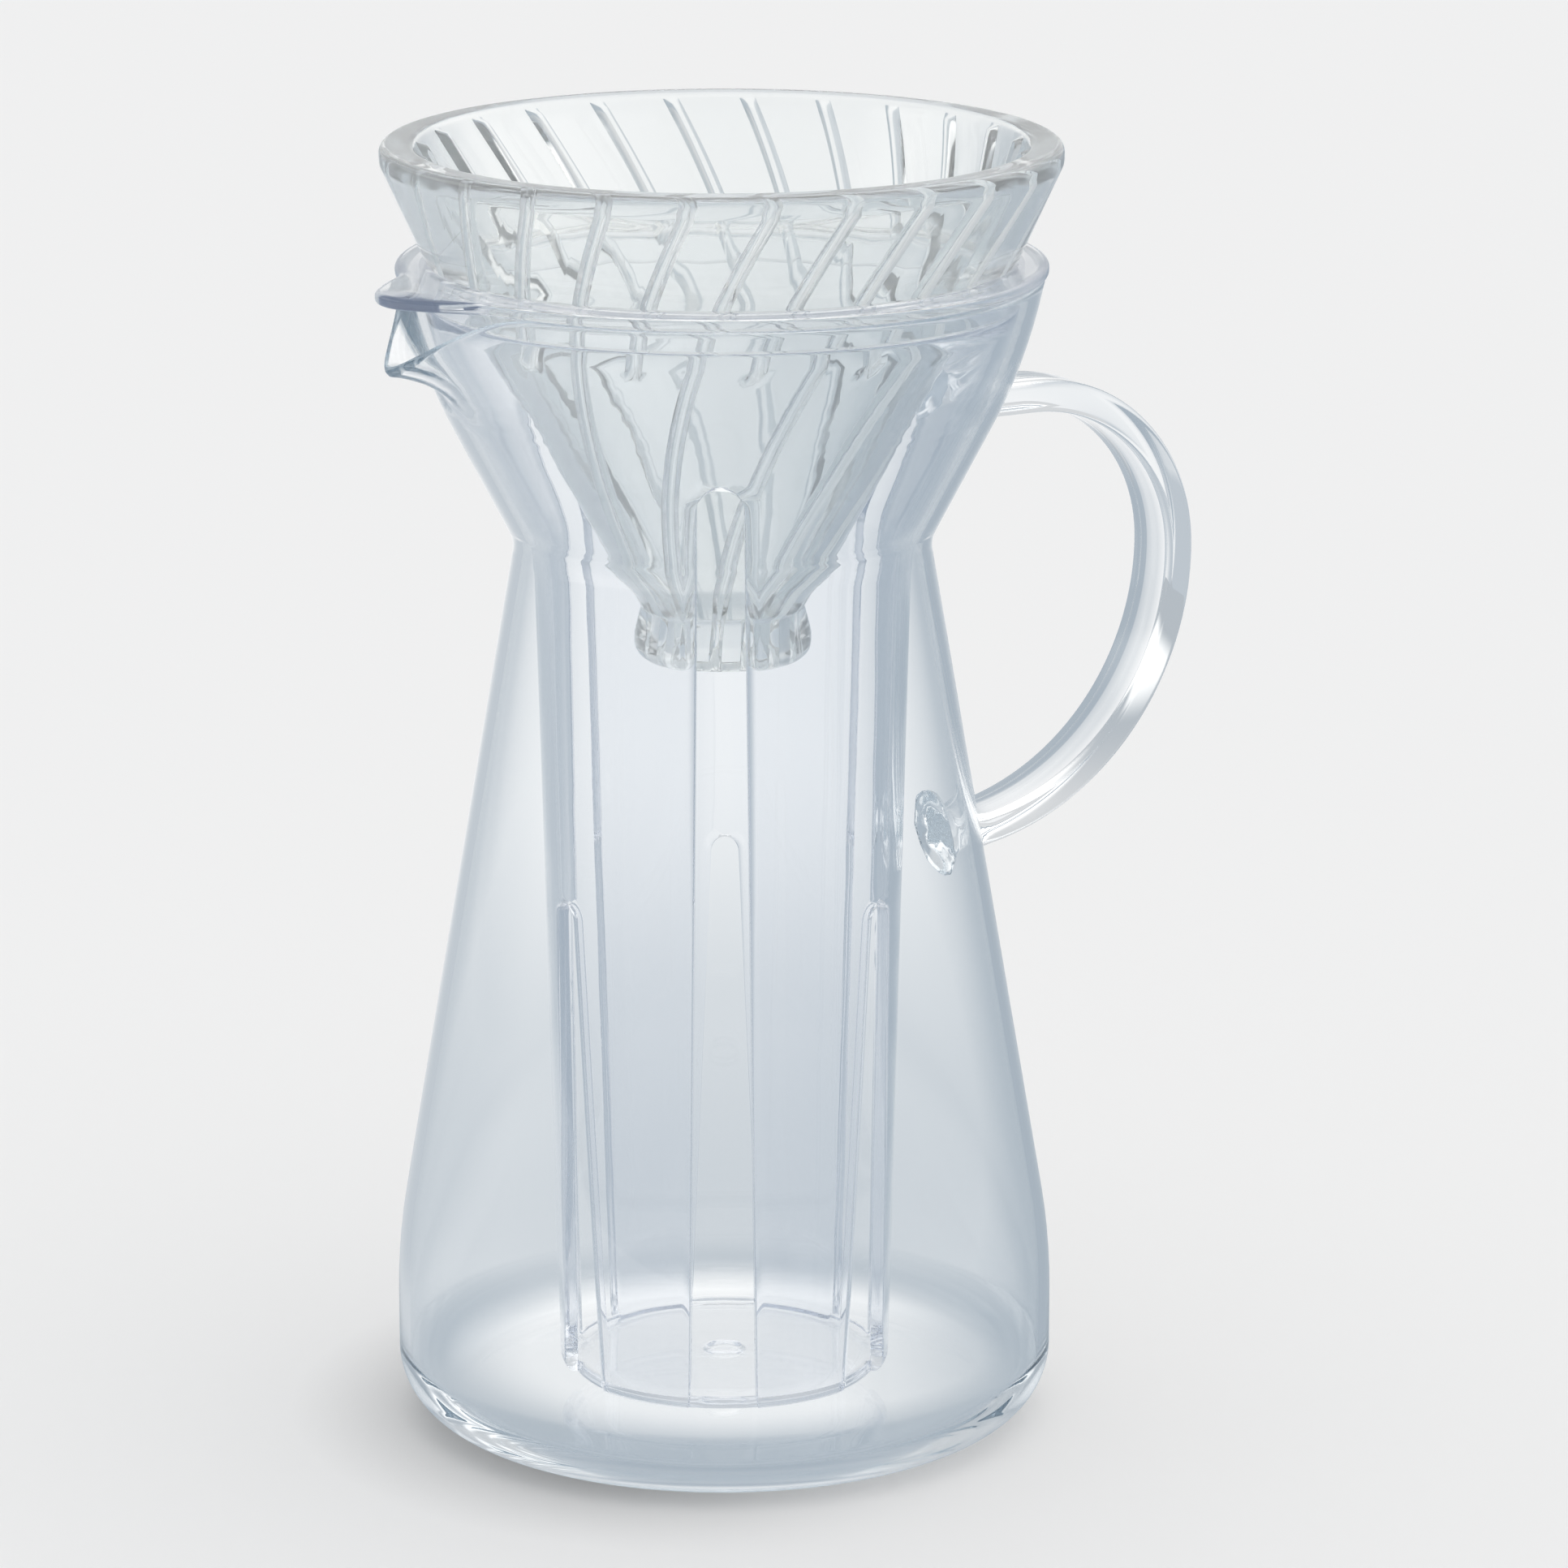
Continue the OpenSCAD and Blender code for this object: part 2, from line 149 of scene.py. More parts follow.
# Strainer's basket: a slot is (height of its top, width at its top, width at its foot)
BOND_GAP = 0.08
TUBE_FOOT_R = 29.4
TUBE_EDGE = 2.1
TUBE_BEND = 12
TUBE_BEND_STEP = 3
TUBE_ROW = 4
ROW_ROOM = 0.6
FOOT_ROOM = 0.5
POSTS = 6
POST_ANGLE = 360 / POSTS
POST_COLUMNS = 14
SLOT_COLUMNS = 4
TALL_SLOT = (WAIST_H + 17.6, 8.3, 12.2)
SHORT_SLOT = (WAIST_H - 62, 5.5, 13.4)
ARCH_FAN = 2.2
ARCH_ROWS = 8
ARCH_SETTLE = 4
FAN_COLUMNS = 5
SLOT_EDGE = 0.95
SLOT_EDGE_ROWS = 4
SLOT_EDGE_PROFILE = 0.36
SLOT_EDGE_ANGLE = 50
BASKET_CREASE = 40
TOP_BAND = 3 * STRAINER_WALL
FLOOR_R = TUBE_FOOT_R - STRAINER_WALL
FLOOR_T = 1.8
FLOOR_BAND = (1, 3)
FLOOR_MARGIN = 1
FLOOR_RINGS = (FLOOR_R, 25.5, 22, 18, 14, 10.5, 7, 4.4, 3.9, 3.5, 3.1, 2.7, 2.3, 1.2, 0)
MARK_R = 3.1
MARK_HALF_W = 0.8
MARK_H = 0.35

# Dripper
RIM_R = 59
RIM_W = 5.8
RIM_IN_R = RIM_R - RIM_W
RIM_BAND = 3.2
CONE_LEAN = math.tan(math.radians(29.5))
CONE_WALL = 3.7
CONE_GAP = 1
CONE_BEND = 4
LEDGE_W = 2.4
LEDGE_LIFT = 0.06
LEDGE_EDGE = 1
LEDGE_BEND = 0.6
HOLE_R = 9
HOLE_BEND = 2
OUTLET_R = 15.5
OUTLET_BULGE = 1.2
OUTLET_H = 9.5
OUTLET_BEND = OUTLET_H / 3
OUTLET_EDGE = 1
NECK_BEND = 1
DRIPPER_BEND_STEP = 10
DRIPPER_ROW = 1.3
DRIPPER_CREASE = 50

# Ribs: columns of points lie across each rib, at these shares of its half width, and between two ribs
RIBS = 24
RIB_HALF_W = 1.45
RIB_WIDEST = 0.4
RIB_H = 1.5
RIB_ROUNDNESS = 3
RIB_TURN = 0.54
RIB_PHASE = 11
RIB_TOP = RIM_Z - 1.2
RIB_TOP_L = 1.6
RIB_FOOT = OUTLET_Z + 2
RIB_FOOT_L = 2.5
SHORT_RIB_FOOT = RIM_Z - 33
RIB_ACROSS = (-1, -0.78, -0.52, -0.26, 0, 0.26, 0.52, 0.78, 1)
RIB_BETWEEN = 4
RIB_COLUMNS = len(RIB_ACROSS) + RIB_BETWEEN
FACE_ROOM = 1

# Finishes
SHADOW_TINT = (0.998, 0.998, 0.998, 1)
WAVE_DETAIL = 1.5
SMUDGE_SCALE = 38
SMUDGE_DETAIL = 4
SMUDGE_SPREAD = (0.45, 0.75)

# Camera, and the directions away from it and to its right
CAMERA_TURN = math.radians(-30)
CAMERA_TILT = math.radians(14.6)
CAMERA_BACK = 1177
CAMERA_RIGHT = 10.7
CAMERA_H = 421
CAMERA_LENS = 158.57
CAMERA_SENSOR = 36
CAMERA_SIGHT = 50
AWAY = (-math.sin(CAMERA_TURN), math.cos(CAMERA_TURN), 0)
RIGHT = (math.cos(CAMERA_TURN), math.sin(CAMERA_TURN), 0)

# Studio floor, in metres: a pair says where a change of tone starts and ends; the tones are a painted
# backdrop that glass and gloss see, and a painted contact shadow
FLOOR_SIZE = 12
FLOOR_DROP = 0.1 * MM
FLOOR_COLOUR = (0.86, 0.86, 0.86, 1)
# Glass and gloss see the floor as a glowing painted backdrop: white even under the object, with painted
# shade at its sides and round its foot
FLOOR_WHITE = (0.95, 0.955, 0.96, 1)
FLOOR_PAINTED_SHADE = (0.40, 0.46, 0.52, 1)
SIDE_SPREAD = 0.25
RIGHT_SIDE = (0.055, 0.22)
LEFT_SIDE = (0.1, 0.27)
LEFT_FRONT = (-0.15, 0.25)
LEFT_SHARE = 0.75
SPOT = (0.022 * AWAY[0], 0.022 * AWAY[1], 0)
RING_SHARE = 0.6
RING_NEAR = (0.034, 0.056)
RING_FOOT = (0.055, 0.09)
RING_FAR = (0.12, 0.5)
# Painted contact shadow: the paper's colour darkens where the object hems it in, mostly on the object's left
CONTACT = 0.022
CONTACT_SAMPLES = 8
CONTACT_SHADE = 0.42
CONTACT_SIDE = (-0.03, 0.04)
PAINTED_SHADOW_COLOUR = (0, 0, 0, 1)

# Studio light, by direction: a pair says where a change of tone starts and ends
ROOM_LEVEL = 0.97
ROOM_PALE = (0.72, 0.73, 0.74, 1)
ROOM_COOL = (0.40, 0.45, 0.50, 1)
ROOM_RIGHT = (0.2, 0.65)
ROOM_LEFT = (0.3, 0.75)
ROOM_LEFT_SHARE = 0.7
ROOM_FRONT = (0.1, 0.7)
ROOM_FRONT_SHARE = 0.6
LAMP = (1.42, 1.4, 1.38, 1)
LAMP_EDGE = (0.5, 0.8)
LAMP_RIGHT = 0.35
LAMP_AWAY = 0.15
LAMP_UP = 0.92
SIDE_LAMP = (1.25, 1.25, 1.24, 1)
SIDE_LAMP_EDGE = (0.7, 0.85)
SIDE_LAMP_FOOT = (0.15, 0.25)
SIDE_LAMP_TOP = (0.5, 0.6)

# Light passes through many walls of clear glass before it gets out
GLASS_BOUNCES = 1024
SHADOW_BOUNCES = 32


# Outlines: a corner is (radius, height, bend), and a path has the axis on its left

def cross(a, b):
    return a.x * b.y - a.y * b.x


def heading(a, b):
    return (Vector(b[:2]) - Vector(a[:2])).normalized()


def inset(corners, walls):
    """The corners of a path moved to its left by a wall for each side."""
    moved = [(0, corners[0][1] + walls[0], 0)]
    for i in range(1, len(corners) - 1):
        a = heading(corners[i - 1], corners[i])
        b = heading(corners[i], corners[i + 1])
        turn = cross(a, b)
        p = Vector(corners[i][:2]) + (walls[i - 1] * b - walls[i] * a) / turn
        moved.append((p.x, p.y, max(0, corners[i][2] - math.copysign(walls[i], turn))))
    return moved


def bend_turn(corners, i):
    a = heading(corners[i - 1], corners[i])
    b = heading(corners[i], corners[i + 1])
    return math.atan2(cross(a, b), a.dot(b))


def bend_reach(corners, i):
    """How far a bend reaches along the sides of its corner."""
    if i in (0, len(corners) - 1):
        return 0
    return corners[i][2] * math.tan(abs(bend_turn(corners, i)) / 2)


def rounded(corners, step=BEND_STEP, shortest=WELD):
    """The points of a path with its corners rounded to their bends, as far as there is room for them.

    A bend turns by step degrees at most from point to point, unless they would lie closer than shortest.
    """
    points = [Vector(corners[0][:2])]
    for i in range(1, len(corners) - 1):
        p, bend = Vector(corners[i][:2]), corners[i][2]
        if bend == 0:
            points.append(p)
            continue
        r = bend
        for j in (i - 1, i + 1):
            side = (Vector(corners[j][:2]) - p).length
            taken = bend_reach(corners, i) + bend_reach(corners, j)
            r = min(r, bend * BEND_ROOM * side / taken)
        a = heading(corners[i - 1], corners[i])
        turn = bend_turn(corners, i)
        start = p - a * r * math.tan(abs(turn) / 2)
        centre = start + Vector((-a.y, a.x)) * math.copysign(r, turn)
        arm = start - centre
        count = max(3, math.ceil(min(math.degrees(abs(turn)) / step, r * abs(turn) / shortest)))
        for k in range(count + 1):
            t = turn * k / count
            points.append(centre + Vector((arm.x * math.cos(t) - arm.y * math.sin(t),
                                           arm.x * math.sin(t) + arm.y * math.cos(t))))
    points.append(Vector(corners[-1][:2]))
    return points


def divided(points, longest):
    """The same path with no stretch longer than the length that longest gives for its height."""
    out = [points[0]]
    for a, b in zip(points, points[1:]):
        parts = max(1, math.ceil((b - a).length / longest(max(a.y, b.y))))
        out += [a.lerp(b, k / parts) for k in range(1, parts + 1)]
    return out


def arc(centre, r, first, last, steps):
    """Points along an arc between two directions in radians."""
    turns = [first + (last - first) * k / steps for k in range(steps + 1)]
    return [centre + r * Vector((math.cos(a), math.sin(a))) for a in turns]


def radius_at(points, z):
    """The radius of a rising path at a height."""
    heights = [p.y for p in points]
    i = min(max(1, bisect.bisect_left(heights, z)), len(points) - 1)
    a, b = points[i - 1], points[i]
    t = 0 if b.y == a.y else clamped((z - a.y) / (b.y - a.y))
    return a.x + (b.x - a.x) * t


def clamped(t):
    return min(1, max(0, t))


def smooth(t):
    t = clamped(t)
    return t * t * (3 - 2 * t)


def polar(r, degrees, z):
    a = math.radians(degrees)
    return Vector((r * math.cos(a), r * math.sin(a), z))


def direction(p):
    return math.degrees(math.atan2(p.y, p.x))


# Modelling steps

def begin_at(name, point):
    """Starts a mesh as one point, in edit mode."""
    bpy.ops.object.select_all(action="DESELECT")
    bpy.ops.mesh.primitive_plane_add(size=MM)
    obj = bpy.context.object
    obj.name = obj.data.name = name
    bpy.ops.object.mode_set(mode="EDIT")
    bpy.ops.mesh.select_all(action="SELECT")
    bpy.ops.mesh.merge(type="CENTER")
    bpy.ops.transform.translate(value=Vector(point) * MM)
    return obj


def draw(points):
    """Extrudes the selected point along a chain of points, and leaves the whole mesh selected."""
    for a, b in zip(points, points[1:]):
        bpy.ops.mesh.extrude_region_move(TRANSFORM_OT_translate={"value": (Vector(b) - Vector(a)) * MM})
    bpy.ops.mesh.select_all(action="SELECT")


def weld():
    bpy.ops.mesh.select_all(action="SELECT")
    bpy.ops.mesh.remove_doubles(threshold=WELD * MM)


def close_up():
    """Welds the mesh, turns its faces outwards and leaves edit mode."""
    weld()
    bpy.ops.mesh.normals_make_consistent(inside=False)
    bpy.ops.object.mode_set(mode="OBJECT")


def lathe(name, outline, steps):
    """Turns an outline of (radius, height) points round the axis."""
    points = [(p.x, 0, p.y) for p in outline]
    obj = begin_at(name, points[0])
    draw(points)
    bpy.ops.mesh.spin(steps=steps, angle=math.tau, center=(0, 0, 0), axis=(0, 0, 1))
    close_up()
    return obj


def shape(obj, move):
    """Moves each point of a mesh to where move says, in millimetres."""
    for v in obj.data.vertices:
        v.co = Vector(move(v.co / MM)) * MM
    obj.data.update()


def wrap_grid(name, columns, rows, place):
    """A flat grid wrapped so that column and row numbers land where place says."""
    bpy.ops.object.select_all(action="DESELECT")
    bpy.ops.mesh.primitive_grid_add(x_subdivisions=columns, y_subdivisions=rows, size=1)
    obj = bpy.context.object
    obj.name = obj.data.name = name
    for v in obj.data.vertices:
        column = round((v.co.x + 0.5) * columns)
        row = round((v.co.y + 0.5) * rows)
        v.co = Vector(place(column, row)) * MM
    return obj


def select_objects(objects):
    """Selects these objects alone, with the first of them active."""
    bpy.ops.object.select_all(action="DESELECT")
    for obj in objects:
        obj.select_set(True)
    bpy.context.view_layer.objects.active = objects[0]


def select_points(obj, numbers):
    """Selects the points of these numbers, in edit mode."""
    bpy.ops.object.mode_set(mode="OBJECT")
    for part in (obj.data.polygons, obj.data.edges):
        for x in part:
            x.select = False
    for v in obj.data.vertices:
        v.select = v.index in numbers
    bpy.ops.object.mode_set(mode="EDIT")


def joined(name, pieces):
    """One welded mesh from several."""
    select_objects(pieces)
    bpy.ops.object.join()
    obj = bpy.context.object
    obj.name = obj.data.name = name
    bpy.ops.object.mode_set(mode="EDIT")
    close_up()
    return obj


def apply_modifier(obj, kind, **settings):
    select_objects([obj])
    modifier = obj.modifiers.new(kind.lower(), kind)
    for key, value in settings.items():
        setattr(modifier, key, value)
    bpy.ops.object.modifier_apply(modifier=modifier.name)


def shade(obj, crease):
    """Shades a mesh smooth, apart from edges that are sharper than the crease."""
    select_objects([obj])
    bpy.ops.object.shade_smooth_by_angle(angle=math.radians(crease))


def hand_in(obj, body, slot, material, *nodes):
    """Gives a finished piece its finish and its body, and hides the model's parts that it stands for."""
    obj.data.materials.clear()
    obj.data.materials.append(material)
    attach(obj, body)
    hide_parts(*nodes)


# Jug

JUG_CORNERS = [
    (0, 0, 0), (BASE_R, 0, HEEL_BEND), (BASE_R, BELLY_H, BELLY_BEND), (WAIST_R, WAIST_H, WAIST_BEND),
    (FLARE_TOP_R, JUG_H - MOUTH_H, FLARE_BEND), (MOUTH_R, JUG_H, 0), (0, JUG_H, 0),
]
JUG_FACE = rounded(JUG_CORNERS)[1:-1]


def jug_outline():
    """The jug's cross-section, from the axis under the floor round the rim to the axis above the floor."""
    inner = inset(JUG_CORNERS, [JUG_FLOOR] + [JUG_WALL] * 4 + [0])
    rim_out = (MOUTH_R, JUG_H, JUG_RIM_BEND)
    rim_in = (inner[5][0], JUG_H, JUG_RIM_BEND)
    under = [(0, PUSH_UP, 0), (PUSH_UP_R, 0, PUSH_UP_BEND)]
    corners = under + JUG_CORNERS[1:5] + [rim_out, rim_in] + inner[4::-1]
    return divided(rounded(corners, JUG_BEND_STEP, JUG_BEND_ROW),
                   lambda z: SPOUT_ROW if z > SPOUT_FOOT_Z else JUG_ROW)


def pull_spout(p):
    """Pulls the glass of the mouth outwards and down to the spout's tip."""
    if p.x > 0 or p.z < SPOUT_FOOT_Z or abs(p.y) > SPOUT_HALF_W + SPOUT_NOSE:
        return p
    s = (p.z - SPOUT_FOOT_Z) / (JUG_H - SPOUT_FOOT_Z)
    half_w = SPOUT_HALF_W * (SPOUT_FOOT_SHARE + (1 - SPOUT_FOOT_SHARE) * s)
    off = (math.hypot(p.y, SPOUT_NOSE) - SPOUT_NOSE) / half_w
    if off >= 1:
        return p
    weight = (1 - off) ** 2
    lean = math.atan((radius_at(JUG_FACE, p.z) - radius_at(JUG_FACE, p.z - LEAN_SPAN)) / LEAN_SPAN)
    middle = radius_at(JUG_FACE, p.z) - JUG_WALL / 2 / math.cos(lean)
    r = math.hypot(p.x, p.y)
    depth = (r - middle) * math.cos(lean)
    foot = Vector((radius_at(JUG_FACE, SPOUT_FOOT_Z) - JUG_WALL / 2, SPOUT_FOOT_Z))
    tip = Vector((SPOUT_REACH, JUG_H - SPOUT_DROP + JUG_WALL / 2))
    bend = foot + Vector(SPOUT_BEND)
    at = foot * (1 - s) ** 2 + bend * 2 * s * (1 - s) + tip * s * s
    along = ((bend - foot) * (1 - s) + (tip - bend) * s).normalized()
    pulled = at + Vector((along.y, -along.x)) * depth
    return Vector((p.x - (pulled.x - r) * weight, p.y, p.z + (pulled.y - p.z) * weight))


def make_jug():
    obj = lathe("jug_body", jug_outline(), JUG_COLUMNS)
    shape(obj, pull_spout)
    shade(obj, JUG_CREASE)
    return obj


# Handle

def strap_section():
    """The strap's cross-section at its outermost point, round its middle line."""
    x, y = STRAP_T / 2, STRAP_W / 2
    corners = [(0, -y, 0), (x, -y, STRAP_BEND), (x, y, STRAP_BEND), (-x, y, STRAP_BEND),
               (-x, -y, STRAP_BEND), (0, -y, 0)]
    points = divided(rounded(corners, STRAP_BEND_STEP), lambda z: STRAP_COLUMN)
    return [Vector((STRAP_MID + p.x, p.y, HANDLE_MID_Z)) for p in points]


def face_x(p):
    """Where the jug's face lies on the handle's side, level with a point and as far off the middle."""
    return math.sqrt(max(0, radius_at(JUG_FACE, p.z) ** 2 - p.y ** 2))


def spread_pads(p):
    """Widens the strap's ends to round pads that are sunk a little in the jug's wall."""
    upper = p.z > HANDLE_MID_Z
    pad, length = (UPPER_PAD, UPPER_PAD_L) if upper else (LOWER_PAD, LOWER_PAD_L)
    near = 1 - clamped((p.x - face_x(p)) / length)
    if near == 0:
        return p
    centre = Vector((STRAP_MID - HANDLE_LOW_R, HANDLE_MID_Z))
    arm = Vector((p.x, p.z)) - centre
    off = p.z - HANDLE_MID_Z - HANDLE_TOP_R if upper else arm.length - HANDLE_LOW_R
    wide, thick = p.y / (STRAP_W / 2), off / (STRAP_T / 2)
    size = math.hypot(wide, thick)
    round_off = 1 + (1 / size - 1) * smooth(near * PAD_ROUNDING)
    grow = near ** 2
    out = p.copy()
    out.y = p.y * round_off * (1 + (pad[0] / (STRAP_W / 2) - 1) * grow)
    off *= round_off * (1 + (pad[1] / (STRAP_T / 2) - 1) * grow)
    if upper:
        out.z = HANDLE_MID_Z + HANDLE_TOP_R + off
    else:
        out.x, out.z = centre + arm.normalized() * (HANDLE_LOW_R + off)
    out.x = max(out.x, face_x(out) - PAD_SINK)
    return out


def ripple_welds(p):
    """Ripples the ends of the strap, where they are sunk in the jug's wall."""
    if p.x > face_x(p):
        return p
    waves = math.sin(FIRST_RIPPLE[0] * p.y + FIRST_RIPPLE[1] * p.z)
    waves += math.cos(SECOND_RIPPLE[0] * p.y + SECOND_RIPPLE[1] * p.z)
    return Vector((face_x(p) - PAD_SINK - PAD_RIPPLE * waves / 2, p.y, p.z))


def open_ends(obj):
    """The numbers of the points round the strap's upper and lower open end."""
    uses = Counter(key for face in obj.data.polygons for key in face.edge_keys)
    points = {i for key, count in uses.items() if count == 1 for i in key}
    upper = {i for i in points if obj.data.vertices[i].co.z > HANDLE_MID_Z * MM}
    return upper, points - upper


def make_handle():
    section = strap_section()
    obj = begin_at("jug_handle", section[0])
    draw(section)
    weld()
    bpy.ops.mesh.spin(steps=TOP_ARC_STEPS, angle=math.radians(TOP_ARC), axis=(0, 1, 0),
                      center=Vector((STRAP_MID - HANDLE_TOP_R, 0, HANDLE_MID_Z)) * MM)
    for _ in range(ARM_STEPS):
        bpy.ops.mesh.extrude_region_move(TRANSFORM_OT_translate={"value": (-ARM_STEP * MM, 0, 0)})
    bpy.ops.object.mode_set(mode="OBJECT")
    select_points(obj, {v.index for v in obj.data.vertices if abs(v.co.z / MM - HANDLE_MID_Z) < WELD})
    bpy.ops.mesh.spin(steps=LOW_ARC_STEPS, angle=math.radians(-LOW_ARC), axis=(0, 1, 0),
                      center=Vector((STRAP_MID - HANDLE_LOW_R, 0, HANDLE_MID_Z)) * MM)
    bpy.ops.object.mode_set(mode="OBJECT")
    shape(obj, spread_pads)
    bpy.ops.object.mode_set(mode="EDIT")
    weld()
    bpy.ops.object.mode_set(mode="OBJECT")
    for end in open_ends(obj):
        select_points(obj, end)
        for part in PAD_RINGS:
            bpy.ops.mesh.extrude_region_move()
            bpy.ops.transform.resize(value=(part, part, part))
        bpy.ops.mesh.merge(type="CENTER")
    close_up()
    shape(obj, ripple_welds)
    shade(obj, STRAP_CREASE)
    return obj


# Strainer's collar

STRAINER = inset(JUG_CORNERS, [JUG_WALL + STRAINER_GAP] * 5 + [0])
SKIRT_R = STRAINER[5][0] - MOUTH_LEAN * (JUG_H - SKIRT_Z)
HOLE_IN_COLLAR = SKIRT_R - STRAINER_WALL


def lobe_outline():
    """Radius of the lobe's edge against the direction from the spout's, in degrees."""
    side = Vector((math.sin(math.radians(LOBE_ANGLE)), math.cos(math.radians(LOBE_ANGLE))))
    along = Vector((side.y, -side.x))
    nose = Vector((LOBE_REACH - LOBE_NOSE_R, 0))
    far = nose.dot(side) + LOBE_NOSE_R + LOBE_FILLET_R
    fillet = side * far + along * math.sqrt((COLLAR_R + LOBE_FILLET_R) ** 2 - far ** 2)
    points = arc(nose, LOBE_NOSE_R, 0, math.radians(90 - LOBE_ANGLE), LOBE_STEPS)
    points += arc(fillet, LOBE_FILLET_R, math.radians(-90 - LOBE_ANGLE),
                  math.atan2(fillet.y, fillet.x) - math.pi, LOBE_STEPS)
    return [Vector((p.length, direction(p))) for p in points]


LOBE = lobe_outline()


def stretch_lobe(p):
    """Moves the collar's rim outwards to the lobe over the spout."""
    r = math.hypot(p.x, p.y)
    off = abs(math.degrees(math.atan2(p.y, -p.x)))
    if r < LOBE_IN_R or off >= LOBE[-1].y:
        return p
    share = min(1, (r - LOBE_IN_R) / (COLLAR_R - LOBE_EDGE - LOBE_IN_R))
    return p + Vector((p.x, p.y, 0)).normalized() * share * (radius_at(LOBE, off) - COLLAR_R)


def make_collar():
    start = (HOLE_IN_COLLAR, (SKIRT_Z + COLLAR_Z) / 2, 0)
    corners = [
        start, (HOLE_IN_COLLAR, SKIRT_Z, SKIRT_EDGE), (SKIRT_R, SKIRT_Z, SKIRT_EDGE),
        (SKIRT_R, JUG_H, COLLAR_INNER_EDGE), (COLLAR_R, JUG_H, COLLAR_EDGE),
        (COLLAR_R, COLLAR_Z, COLLAR_EDGE), (HOLE_IN_COLLAR, COLLAR_Z, COLLAR_INNER_EDGE), start,
    ]
    outline = divided(rounded(corners, COLLAR_BEND_STEP), lambda z: COLLAR_ROW)
    obj = lathe("strainer_collar", outline, COLLAR_COLUMNS)
    shape(obj, stretch_lobe)
    shade(obj, COLLAR_CREASE)
    return obj


# Strainer's basket

BASKET_CORNERS = [
    (0, BASKET_Z, 0), (TUBE_FOOT_R, BASKET_Z, TUBE_EDGE), (STRAINER[3][0], STRAINER[3][1], TUBE_BEND),
    STRAINER[4], (SKIRT_R, SKIRT_Z - BOND_GAP, 0),
]
BASKET_FACE = rounded(BASKET_CORNERS, TUBE_BEND_STEP)


def slot_of(side):
    return SHORT_SLOT if side % 2 else TALL_SLOT


def arch(slot):
    """Height where a slot's arch springs, the arch's radius, and the rise of the rows that end on it."""
    top, top_w = slot[:2]
    return top - top_w / 2, top_w / 2, top_w / 2 * ARCH_FAN


def slot_edge(slot, level):
    """Height and half width of a slot's edge where a row of this level meets it."""
    spring, r, rise = arch(slot)
    if level <= spring:
        share = (level - BASKET_Z) / (spring - BASKET_Z)
        return level, slot[2] / 2 + (r - slot[2] / 2) * share
    if level <= spring + rise:
        a = math.pi / 2 * (level - spring) / rise
        return spring + r * math.sin(a), r * math.cos(a)
    lag = rise - r
    return level - lag * max(0, 1 - (level - spring - rise) / (ARCH_SETTLE * lag)) ** 2, 0


def basket_rows():
    """The rows of a post from the floor upwards: a radius, for the foot's corner alone, and a level."""
    foot = [p for p in BASKET_FACE if p.y < BASKET_Z + TUBE_EDGE and p.x > FLOOR_R]
    levels = []
    for slot in (TALL_SLOT, SHORT_SLOT):
        spring, _, rise = arch(slot)
        levels += [spring + rise * k / ARCH_ROWS for k in range(ARCH_ROWS + 1)]
    for p in BASKET_FACE:
        if p.y > foot[-1].y + FOOT_ROOM and all(abs(p.y - z) > ROW_ROOM for z in levels):
            levels.append(p.y)
    levels = sorted(levels)
    if levels[-1] < BASKET_FACE[-1].y:
        levels.append(BASKET_FACE[-1].y)
    rows = [(FLOOR_R, BASKET_Z)] + [(p.x, p.y) for p in foot]
    last = foot[-1].y
    for z in levels:
        parts = max(1, math.ceil((z - last) / TUBE_ROW))
        rows += [(None, last + (z - last) * k / parts) for k in range(1, parts + 1)]
        last = z
    return rows


def post_point(rows, side, column, row):
    """A point of the post between two slots."""
    r, level = rows[row]
    t = column / POST_COLUMNS
    edges = [slot_edge(slot_of(side), level), slot_edge(slot_of(side + 1), level)]
    pulls = [max(0, 1 - steps / FAN_COLUMNS) ** 2 for steps in (column, POST_COLUMNS - column)]
    z = level + sum((edge[0] - level) * pull for edge, pull in zip(edges, pulls))
    turns = [math.degrees(math.asin(edge[1] / (r or radius_at(BASKET_FACE, edge[0])))) for edge in edges]
    start = POST_ANGLE * side + turns[0]
    end = POST_ANGLE * (side + 1) - turns[1]
    return polar(r or radius_at(BASKET_FACE, z), start + (end - start) * t, z)


def post(rows, side):
    return wrap_grid("post", POST_COLUMNS, len(rows) - 1, lambda c, k: post_point(rows, side, c, k))


def floor_at_post(rows, side):
    """The wedge of the floor that ends at a post."""
    turns = [direction(post_point(rows, side, c, 0)) for c in range(POST_COLUMNS + 1)]
    turns = [turns[0] + (a - turns[0]) % 360 for a in turns]
    return wrap_grid("floor", POST_COLUMNS, len(FLOOR_RINGS) - 1,
                     lambda c, k: polar(FLOOR_RINGS[k], turns[c], BASKET_Z))


def floor_at_slot(side):
    """The wedge of the floor that ends at a slot."""
    half = math.degrees(math.asin(slot_edge(slot_of(side), BASKET_Z)[1] / FLOOR_R))
    turns = [POST_ANGLE * side + half * (2 * c / SLOT_COLUMNS - 1) for c in range(SLOT_COLUMNS + 1)]
    return wrap_grid("floor", SLOT_COLUMNS, len(FLOOR_RINGS) - 1,
                     lambda c, k: polar(FLOOR_RINGS[k], turns[c], BASKET_Z))


def finish_moulding(p):
    """Levels the basket's top, thins its floor and raises the ring mark in the middle of it."""
    out = p.copy()
    if p.z > SKIRT_Z - TOP_BAND:
        out.z = min(p.z, SKIRT_Z - BOND_GAP)
    r = math.hypot(p.x, p.y)
    if FLOOR_BAND[0] < p.z - BASKET_Z < FLOOR_BAND[1] and r < FLOOR_R - FLOOR_MARGIN:
        out.z = BASKET_Z + FLOOR_T + MARK_H * max(0, 1 - abs(r - MARK_R) / MARK_HALF_W)
    return out


